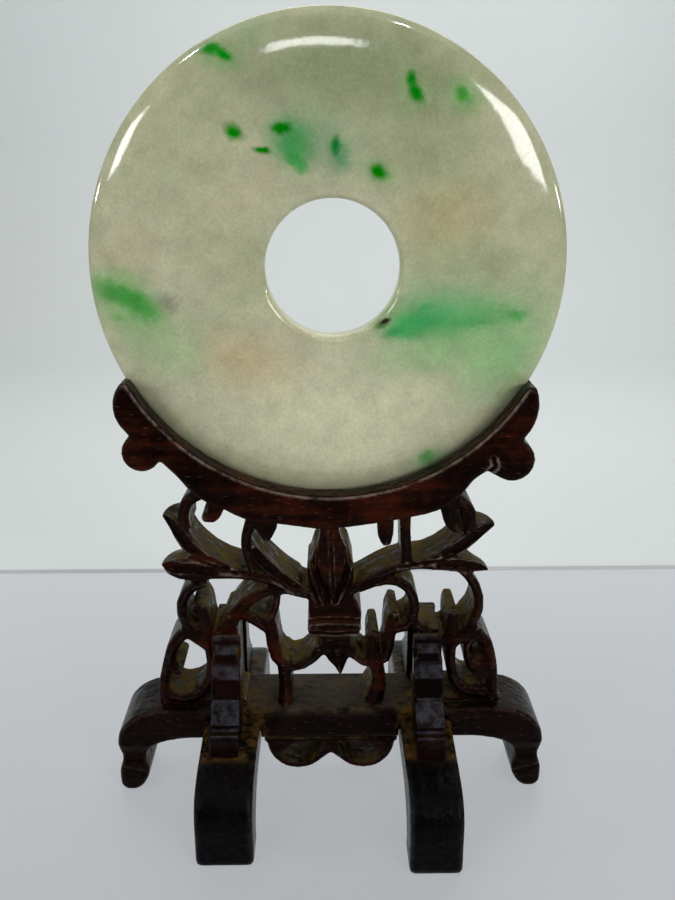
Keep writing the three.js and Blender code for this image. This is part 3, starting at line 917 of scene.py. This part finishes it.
@dataclass
class CarvedPiece:
    """A piece of wood that starts from its solid and is rounded, cut in relief and dusted."""

    node: str
    slot: str
    finish: bpy.types.Material
    voxel: float = 0.7
    rounding: int = 2
    triangles: int = 60000

    def block_out(self) -> bpy.types.Object:
        """Copies the solid and remeshes it finely.

        Returns:
            The new piece.
        """
        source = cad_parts[self.node]
        made = bpy.data.objects.new(self.node + "_carved", source.data.copy())
        bpy.context.scene.collection.objects.link(made)
        remesh = made.modifiers.new("fine", "REMESH")
        remesh.mode = "VOXEL"
        remesh.voxel_size = self.voxel * MM
        remesh.adaptivity = 0
        self.apply(made)
        return made

    @staticmethod
    def apply(made: bpy.types.Object) -> None:
        """Applies the piece's modifiers to its mesh.

        Args:
            made: The piece.
        """
        depsgraph = bpy.context.evaluated_depsgraph_get()
        mesh = bpy.data.meshes.new_from_object(made.evaluated_get(depsgraph))
        made.modifiers.clear()
        made.data = mesh

    def shape(self, wood: Wood) -> None:
        """Cuts the piece's own relief; a plain piece has none."""

    def thin_out(self, made: bpy.types.Object) -> None:
        """Merges faces where the piece is flat, down to its budget.

        Args:
            made: The piece.
        """
        made.data.calc_loop_triangles()
        count = len(made.data.loop_triangles)
        if count > self.triangles:
            fewer = made.modifiers.new("fewer", "DECIMATE")
            fewer.ratio = self.triangles / count
            self.apply(made)

    def dust(self, at: np.ndarray, normals: np.ndarray) -> np.ndarray:
        """How thickly dust lies at each vertex; a plain piece is dusty on top."""
        return smoothstep(0.55, 0.98, normals[:, 2]) * 0.7

    def grime(self, at: np.ndarray, normals: np.ndarray) -> np.ndarray:
        """How much ochre dirt is packed at each vertex; a plain piece has none."""
        return np.zeros(len(at))

    def darkened(self, at: np.ndarray) -> np.ndarray:
        """Where the piece is darkened; a plain piece has none."""
        return np.zeros(len(at))

    def sheen_and_wear(self, at: np.ndarray, normals: np.ndarray) -> np.ndarray:
        """Painted highlight and sheen, with some rubbing, besides the corners; a plain piece has none."""
        return np.zeros(len(at))

    def build(self) -> bpy.types.Object:
        """Makes the piece and dresses it.

        Returns:
            The piece.
        """
        made = self.block_out()
        wood = Wood(made)
        wood.relax(self.rounding)
        self.shape(wood)
        wood.relax(1, 0.3)
        wood.write()
        self.thin_out(made)
        made.data.shade_smooth()
        wood = Wood(made)
        low, high = (np.array(corner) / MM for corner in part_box(self.node))
        wood.at = np.clip(wood.at, low, high)
        normals = wood.normals()
        bend = wood.curvature(2)
        wood.mark("dust", self.dust(wood.at, normals))
        wood.mark("grime", self.grime(wood.at, normals))
        # Outward corners: rubbing with a painted highlight, plus each piece's own painted highlight and
        # sheen
        wood.mark("wear_and_highlight", 0.9 * smoothstep(0.06, 0.22, bend) + self.sheen_and_wear(wood.at, normals))
        # Painted shade in the creases by curvature, plus the piece's own darkened places
        wood.mark("crease_shade_and_darkening", smoothstep(-0.04, -0.30, bend) + self.darkened(wood.at))
        wood.write()
        made.data.materials.clear()
        made.data.materials.append(self.finish)
        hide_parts(self.node)
        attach(made, BODY)
        made.data.calc_loop_triangles()
        log.info("%s: %d triangles", made.name, len(made.data.loop_triangles))
        return made


@dataclass
class Cradle(CarvedPiece):
    """The grooved crescent and the openwork under it."""

    voxel: float = 0.55
    triangles: int = 190000
    leaf_tips: tuple[tuple[float, float], ...] = ((-56.6, 110.6), (-58.2, 92), (56.4, 106.8), (55, 89))
    hollows: tuple[tuple[tuple[float, float], ...], ...] = (
        ((-55, 108.6), (-51.4, 104), (-48, 98.6), (-43, 93.6), (-36, 90.4)),
        ((-56.4, 92), (-52, 90.6), (-46, 90.2), (-40, 89.4)),
        ((54.6, 105.6), (49.8, 102.4), (45, 98.4), (40, 94.8)),
        ((53, 89.2), (49, 90.2), (44, 91), (38, 91.4)),
        ((-12, 82.6), (-18, 87), (-22.4, 92), (-25.4, 96.4)),
    )
    creases: tuple[tuple[tuple[float, float], ...], ...] = (
        ((0.0, 106), (0.3, 97), (0.7, 88), (1.0, 77)),
        ((-4.6, 97), (-5.0, 91), (-3.4, 84.4), (-0.8, 78)),
        ((5.3, 97.6), (6.1, 92.8), (5.2, 87.6), (2.6, 81), (1.4, 77.6)),
        ((-3.6, 86.4), (-0.9, 77)),
        ((-6.4, 82), (-3.8, 76.4)),
        ((3.6, 82.4), (1.6, 77)),
        ((-7.6, 69.6), (1, 70.4), (10.6, 69.6)),
        ((-7.2, 66.0), (1, 65.2), (10, 65.8)),
        ((-32, 88.6), (-38, 90.2), (-44, 92.4), (-47.6, 94.6)),
        ((24, 90.6), (31, 91.8), (38, 93), (43, 94.4)),
    )
    notch: tuple[tuple[float, float], ...] = ((52.2, 126.4), (54.2, 128.2), (53.4, 131))
    gouge_width: float = 2.2
    gouge_depth: float = 1.5
    crease: float = 0.9
    lip_centre: float = 190.0
    lip_line: float = 72.8
    lip_front: tuple[float, float] = (-11.2, -11.6)
    disc_centre: float = 190.3
    under_crescent: tuple[float, float] = (84.0, 87.5)

    def shape(self, wood: Wood) -> None:
        """Draws the leaf tips in towards the back, hollows the leaves and cuts the creases.

        Args:
            wood: The piece's vertices.
        """
        for x, z in self.leaf_tips:
            away = wood.at[:, [0, 2]] - [x, z]
            near = smoothstep(11, 2, np.linalg.norm(away, axis=1))
            depth = np.clip((wood.at[:, 1] + 8) / 16.5, 0, 1) ** 2
            inward = np.array([-math.copysign(0.8, x), -0.6])
            wood.at[:, [0, 2]] += (4.5 * near * depth)[:, None] * inward
        for path in self.hollows:
            wood.carve(path, self.gouge_width, self.gouge_depth, 2.0)
        for path in self.creases:
            wood.carve(path, self.crease, self.crease)
        wood.carve(self.notch, 1.0, 1.6)

    def sheen_and_wear(self, at: np.ndarray, normals: np.ndarray) -> np.ndarray:
        """A painted highlight, with some rubbing, runs along the rounded front edge of the crescent's lip.
        """
        from_lip = np.abs(np.hypot(at[:, 0], at[:, 2] - self.lip_centre) - self.lip_line)
        return 0.8 * smoothstep(0.6, 0.1, from_lip) * smoothstep(*self.lip_front, at[:, 1])

    def dust(self, at: np.ndarray, normals: np.ndarray) -> np.ndarray:
        """Dust lies inside the openwork, thickest on what faces up, not on the crescent or the outer sides.

        Args:
            at: Positions.
            normals: Unit normals.

        Returns:
            From 0, clean, to 1, covered.
        """
        up = smoothstep(-0.35, 0.75, normals[:, 2])
        inside = 1 - smoothstep(0.35, 0.75, np.abs(normals[:, 1]))
        from_disc = np.hypot(at[:, 0], at[:, 2] - self.disc_centre)
        under = smoothstep(*self.under_crescent, from_disc) * smoothstep(122, 116, at[:, 2])
        deep = smoothstep(-9.5, -6.0, at[:, 1])
        outwards = smoothstep(0.2, 0.7, normals[:, 0] * np.sign(at[:, 0]))
        outside = outwards * smoothstep(44, 49, np.abs(at[:, 0]))
        return inside * under * (0.35 + 0.65 * up) * (0.12 + 0.88 * deep) * (1 - 0.9 * outside)


@dataclass
class Beam(CarvedPiece):
    """The beam with its turned-down ends, whose toes carry one cut line each."""

    voxel: float = 0.75
    triangles: int = 90000
    toe_lines: tuple[tuple[tuple[float, float], ...], ...] = (
        ((-78.6, 9.8), (-74, 8.9), (-69, 7.6)),
        ((67.6, 6.2), (72, 7.8), (77.4, 9.4)),
    )
    toe_cut: float = 0.8
    bracket_inner: float = 31.5

    def shape(self, wood: Wood) -> None:
        """Cuts the line on each toe."""
        for path in self.toe_lines:
            wood.carve(path, self.toe_cut, self.toe_cut)

    def darkened(self, at: np.ndarray) -> np.ndarray:
        """The toes are darkened."""
        return smoothstep(19, 11, at[:, 2]) * smoothstep(58, 64, np.abs(at[:, 0]))

    def dust(self, at: np.ndarray, normals: np.ndarray) -> np.ndarray:
        """Dust lies on top between the brackets and behind the panel; the ends are wiped clean.

        Args:
            at: Positions.
            normals: Unit normals.

        Returns:
            From 0, clean, to 1, covered.
        """
        top = smoothstep(0.6, 0.98, normals[:, 2])
        between = smoothstep(50, 40, np.abs(at[:, 0]))
        side = 0.3 * between * smoothstep(31, 34, at[:, 2])
        return top * (0.06 + 0.7 * between) + side * (1 - top)

    def grime(self, at: np.ndarray, normals: np.ndarray) -> np.ndarray:
        """Dirt is packed where the beam meets the brackets and the cross feet."""
        joint = smoothstep(10.5, 5.0, np.abs(np.abs(at[:, 0]) - self.bracket_inner))
        return joint * smoothstep(20, 24, at[:, 2]) * smoothstep(4, -4, at[:, 1])


@dataclass
class CrossFoot(CarvedPiece):
    """An arched cross foot."""

    voxel: float = 0.9
    triangles: int = 40000

    def dust(self, at: np.ndarray, normals: np.ndarray) -> np.ndarray:
        """A trace of dirt is left on top, close to the bracket."""
        near = smoothstep(38, 31, np.abs(at[:, 1]))
        return smoothstep(0.5, 0.95, normals[:, 2]) * 0.3 * near

    def grime(self, at: np.ndarray, normals: np.ndarray) -> np.ndarray:
        """Dirt is packed round the foot of the bracket."""
        return 0.8 * smoothstep(34.5, 30.0, np.abs(at[:, 1])) * smoothstep(14, 20, at[:, 2])


@dataclass
class Bracket(CarvedPiece):
    """A stepped bracket with a narrow neck under its cap."""

    voxel: float = 0.45
    triangles: int = 30000
    rounding: int = 1
    neck: tuple[float, float] = (57.0, 62.4)
    pinch: float = 0.24

    def shape(self, wood: Wood) -> None:
        """Pinches the neck from both cheeks, where it stands clear of the panel.

        Args:
            wood: The piece's vertices.
        """
        x, y, z = wood.at.T
        middle = (x.min() + x.max()) / 2
        low, high = self.neck
        inside = smoothstep(low, low + 1.2, z) * smoothstep(high, high - 1.0, z)
        front = smoothstep(11.6, 12.6, np.abs(y))
        wood.at[:, 0] += (middle - x) * self.pinch * inside * front

    def sheen_and_wear(self, at: np.ndarray, normals: np.ndarray) -> np.ndarray:
        """Painted sheen: the upward sloping treads carry a painted blue-grey reflection."""
        return 0.8 * smoothstep(0.3, 0.55, normals[:, 2]) * smoothstep(0.2, 0.5, np.abs(normals[:, 1]))

    def dust(self, at: np.ndarray, normals: np.ndarray) -> np.ndarray:
        """A little dust lies on the very top and on the ledges.

        Args:
            at: Positions.
            normals: Unit normals.

        Returns:
            From 0, clean, to 1, covered.
        """
        top = smoothstep(63.4, 65.0, at[:, 2]) * smoothstep(0.3, 0.9, normals[:, 2])
        ledge = 0.12 * smoothstep(0.5, 0.95, normals[:, 2])
        return 0.75 * top + ledge

    def grime(self, at: np.ndarray, normals: np.ndarray) -> np.ndarray:
        """Dirt is packed on the cheeks, thickest at the panel and at the foot."""
        joint = smoothstep(34.0, 30.0, at[:, 2]) + smoothstep(22.0, 12.0, np.abs(at[:, 1]))
        return 0.85 * joint * smoothstep(0.5, 0.9, np.abs(normals[:, 0]))


@dataclass
class Apron(CarvedPiece):
    """The pierced double scroll under the beam."""

    voxel: float = 0.45
    triangles: int = 40000

    def dust(self, at: np.ndarray, normals: np.ndarray) -> np.ndarray:
        """Dust lies inside the scrolls and on the ledge under the beam."""
        inside = 1 - smoothstep(0.35, 0.75, np.abs(normals[:, 1]))
        return inside * (0.12 + 0.45 * smoothstep(-0.3, 0.7, normals[:, 2]))


# ---- Studio ----


@dataclass(frozen=True)
class Softbox:
    """A soft area light aimed at the middle of the object."""

    name: str
    azimuth: float
    elevation: float
    distance: float
    width: float
    height: float
    power: float
    code: str = "ffffff"
    aim: tuple[float, float, float] = (0.0, 0.0, 150.0)

    def build(self) -> None:
        """Places the light; azimuth 0 is in front of the object and 90 to its right."""
        a, e = math.radians(self.azimuth), math.radians(self.elevation)
        aim = Vector(self.aim) * MM
        away = Vector((math.sin(a) * math.cos(e), -math.cos(a) * math.cos(e), math.sin(e)))
        lamp = bpy.data.lights.new(self.name, "AREA")
        lamp.shape = "RECTANGLE"
        lamp.size, lamp.size_y = self.width * MM, self.height * MM
        lamp.energy = self.power
        lamp.color = linear(self.code)[:3]
        made = bpy.data.objects.new(self.name, lamp)
        made.location = aim + away * self.distance * MM
        made.rotation_euler = (-away).to_track_quat("-Z", "Y").to_euler()
        bpy.context.scene.collection.objects.link(made)


@dataclass
class Studio:
    """White acrylic plate, pale backdrop and soft lights."""

    plate_back: float = 162.0
    plate_thick: float = 3.0
    edge_height: float = 2.2
    half_width: float = 1600.0
    wall: float = 900.0
    wall_top: float = 1500.0
    bend_radius: float = 250.0
    board_gap: float = 0.5
    room_light: float = 0.015
    room_seen: float = 0.72
    softboxes: tuple[Softbox, ...] = (
        Softbox("softbox_right", 37, 17.5, 1050, 330, 300, 3.1),
        Softbox("softbox_left", -45, 19, 1060, 200, 230, 1.7),
        Softbox("softbox_top", -1.5, 23.5, 1040, 215, 95, 0.6),
        Softbox("lamp_right", 29, 55, 1000, 50, 40, 0.6),
        Softbox("lamp_left", -52, 48, 1000, 60, 50, 0.8),
        Softbox("lamp_side_left", -78, 14, 900, 60, 60, 1.0),
        Softbox("lamp_side_right", 74, 12, 900, 60, 60, 1.0),
        Softbox("softbox_overhead", 0, 84, 1300, 1500, 1500, 4.0, aim=(0.0, 100.0, 0.0)),
        Softbox("softbox_backdrop", 10, 75, 700, 900, 400, 3.0, aim=(80.0, 560.0, 0.0)),
    )

    def build(self) -> None:
        """Builds the plate, the backdrop, the lights and the ambient light."""
        acrylic = StagePaint("white_acrylic_satin", "626466", 0.30, 0.3, (2.15, 3.55))
        board = StagePaint("painted_backdrop_matt", "cdd2d1", 0.9, 0.1, (0.14, 0.14))
        sawn = StagePaint("acrylic_sawn_edge", "b0b3b3", 0.5, 0.5, (0.32, 0.32))
        width = self.half_width
        plate = mesh_object(
            "stage_plate",
            np.array(
                [
                    [x, y, z]
                    for z in (-self.plate_thick, 0.0)
                    for x, y in (
                        (-width, -width),
                        (width, -width),
                        (width, self.plate_back),
                        (-width, self.plate_back),
                    )
                ]
            ),
            [(3, 2, 1, 0), (4, 5, 6, 7), (0, 1, 5, 4), (1, 2, 6, 5), (2, 3, 7, 6), (3, 0, 4, 7)],
        )
        plate.data.shade_flat()
        plate.data.materials.append(acrylic.material())
        floor, steps = -self.plate_thick - self.board_gap, 16
        bend = [
            (
                self.wall - self.bend_radius + self.bend_radius * math.sin(t * math.pi / 2 / steps),
                self.bend_radius - self.bend_radius * math.cos(t * math.pi / 2 / steps) + floor,
            )
            for t in range(steps + 1)
        ]
        section = [(-width, floor), *bend, (self.wall, self.wall_top)]
        points = [[x, y, z] for y, z in section for x in (-width, width)]
        faces = [(2 * i, 2 * i + 1, 2 * i + 3, 2 * i + 2) for i in range(len(section) - 1)]
        backdrop = mesh_object("stage_backdrop", np.array(points), faces)
        backdrop.data.materials.append(board.material())
        # The far edge of the plate stands a hair proud; it is painted lighter than the plate and glows a
        # little, a painted highlight
        far_edge = mesh_object(
            "stage_plate_edge",
            np.array(
                [
                    [x, self.plate_back + y, z]
                    for y, z in ((0.0, 0.0), (0.0, self.edge_height), (1.0, self.edge_height))
                    for x in (-width, width)
                ]
            ),
            [(0, 1, 3, 2), (2, 3, 5, 4)],
        )
        far_edge.data.shade_flat()
        far_edge.data.materials.append(sawn.material())
        for softbox in self.softboxes:
            softbox.build()
        # The room is pale to look at, but gives almost no light of its own
        world = bpy.data.worlds.new("studio_room")
        world.use_nodes = True
        seen = add_node(world.node_tree, "ShaderNodeLightPath").outputs["Is Camera Ray"]
        level = add_node(
            world.node_tree,
            "ShaderNodeMapRange",
            {"Value": seen, "To Min": self.room_light, "To Max": self.room_seen},
        )
        room = world.node_tree.nodes["Background"]
        room.inputs["Color"].default_value = linear("dfe4ea")
        world.node_tree.links.new(level.outputs["Result"], room.inputs["Strength"])
        bpy.context.scene.world = world
        bpy.context.scene.view_settings.view_transform = "Standard"
        log.info("studio: %d lights", len(self.softboxes))


@dataclass
class Viewpoint:
    """The camera, a little above the disc's middle and looking slightly down."""

    location: tuple[float, float, float] = (-1.5, -277.0, 228.5)
    tilt: float = 90 - 19.55
    turn: float = -0.85
    lens: float = 34.8

    def build(self) -> None:
        """Makes the camera the scene's own."""
        camera = bpy.data.cameras.new("viewpoint")
        camera.sensor_width = 36.0
        camera.lens = self.lens
        camera.clip_start = 0.01
        made = bpy.data.objects.new("viewpoint", camera)
        made.location = Vector(self.location) * MM
        made.rotation_euler = (math.radians(self.tilt), 0.0, math.radians(self.turn))
        bpy.context.scene.collection.objects.link(made)
        bpy.context.scene.camera = made


def main() -> None:
    """Builds the camera, the disc, the stand and the studio."""
    Viewpoint().build()
    Studio().build()
    finishes = (CARVED, PLANED, BLACKENED, STAINED)
    carved, planed, blackened, darkened = (finish.material() for finish in finishes)
    JadeDisc().build()
    Cradle("cradle_panel", "carved_wood", carved).build()
    Beam("long_foot", "carved_wood", planed).build()
    Apron("apron", "carved_wood", carved).build()
    for side in ("left", "right"):
        CrossFoot(f"cross_foot_{side}", "dark_wood", blackened).build()
        for end in ("front", "back"):
            Bracket(f"bracket_{end}_{side}", "dark_wood", darkened).build()


if __name__ == "__main__":
    main()
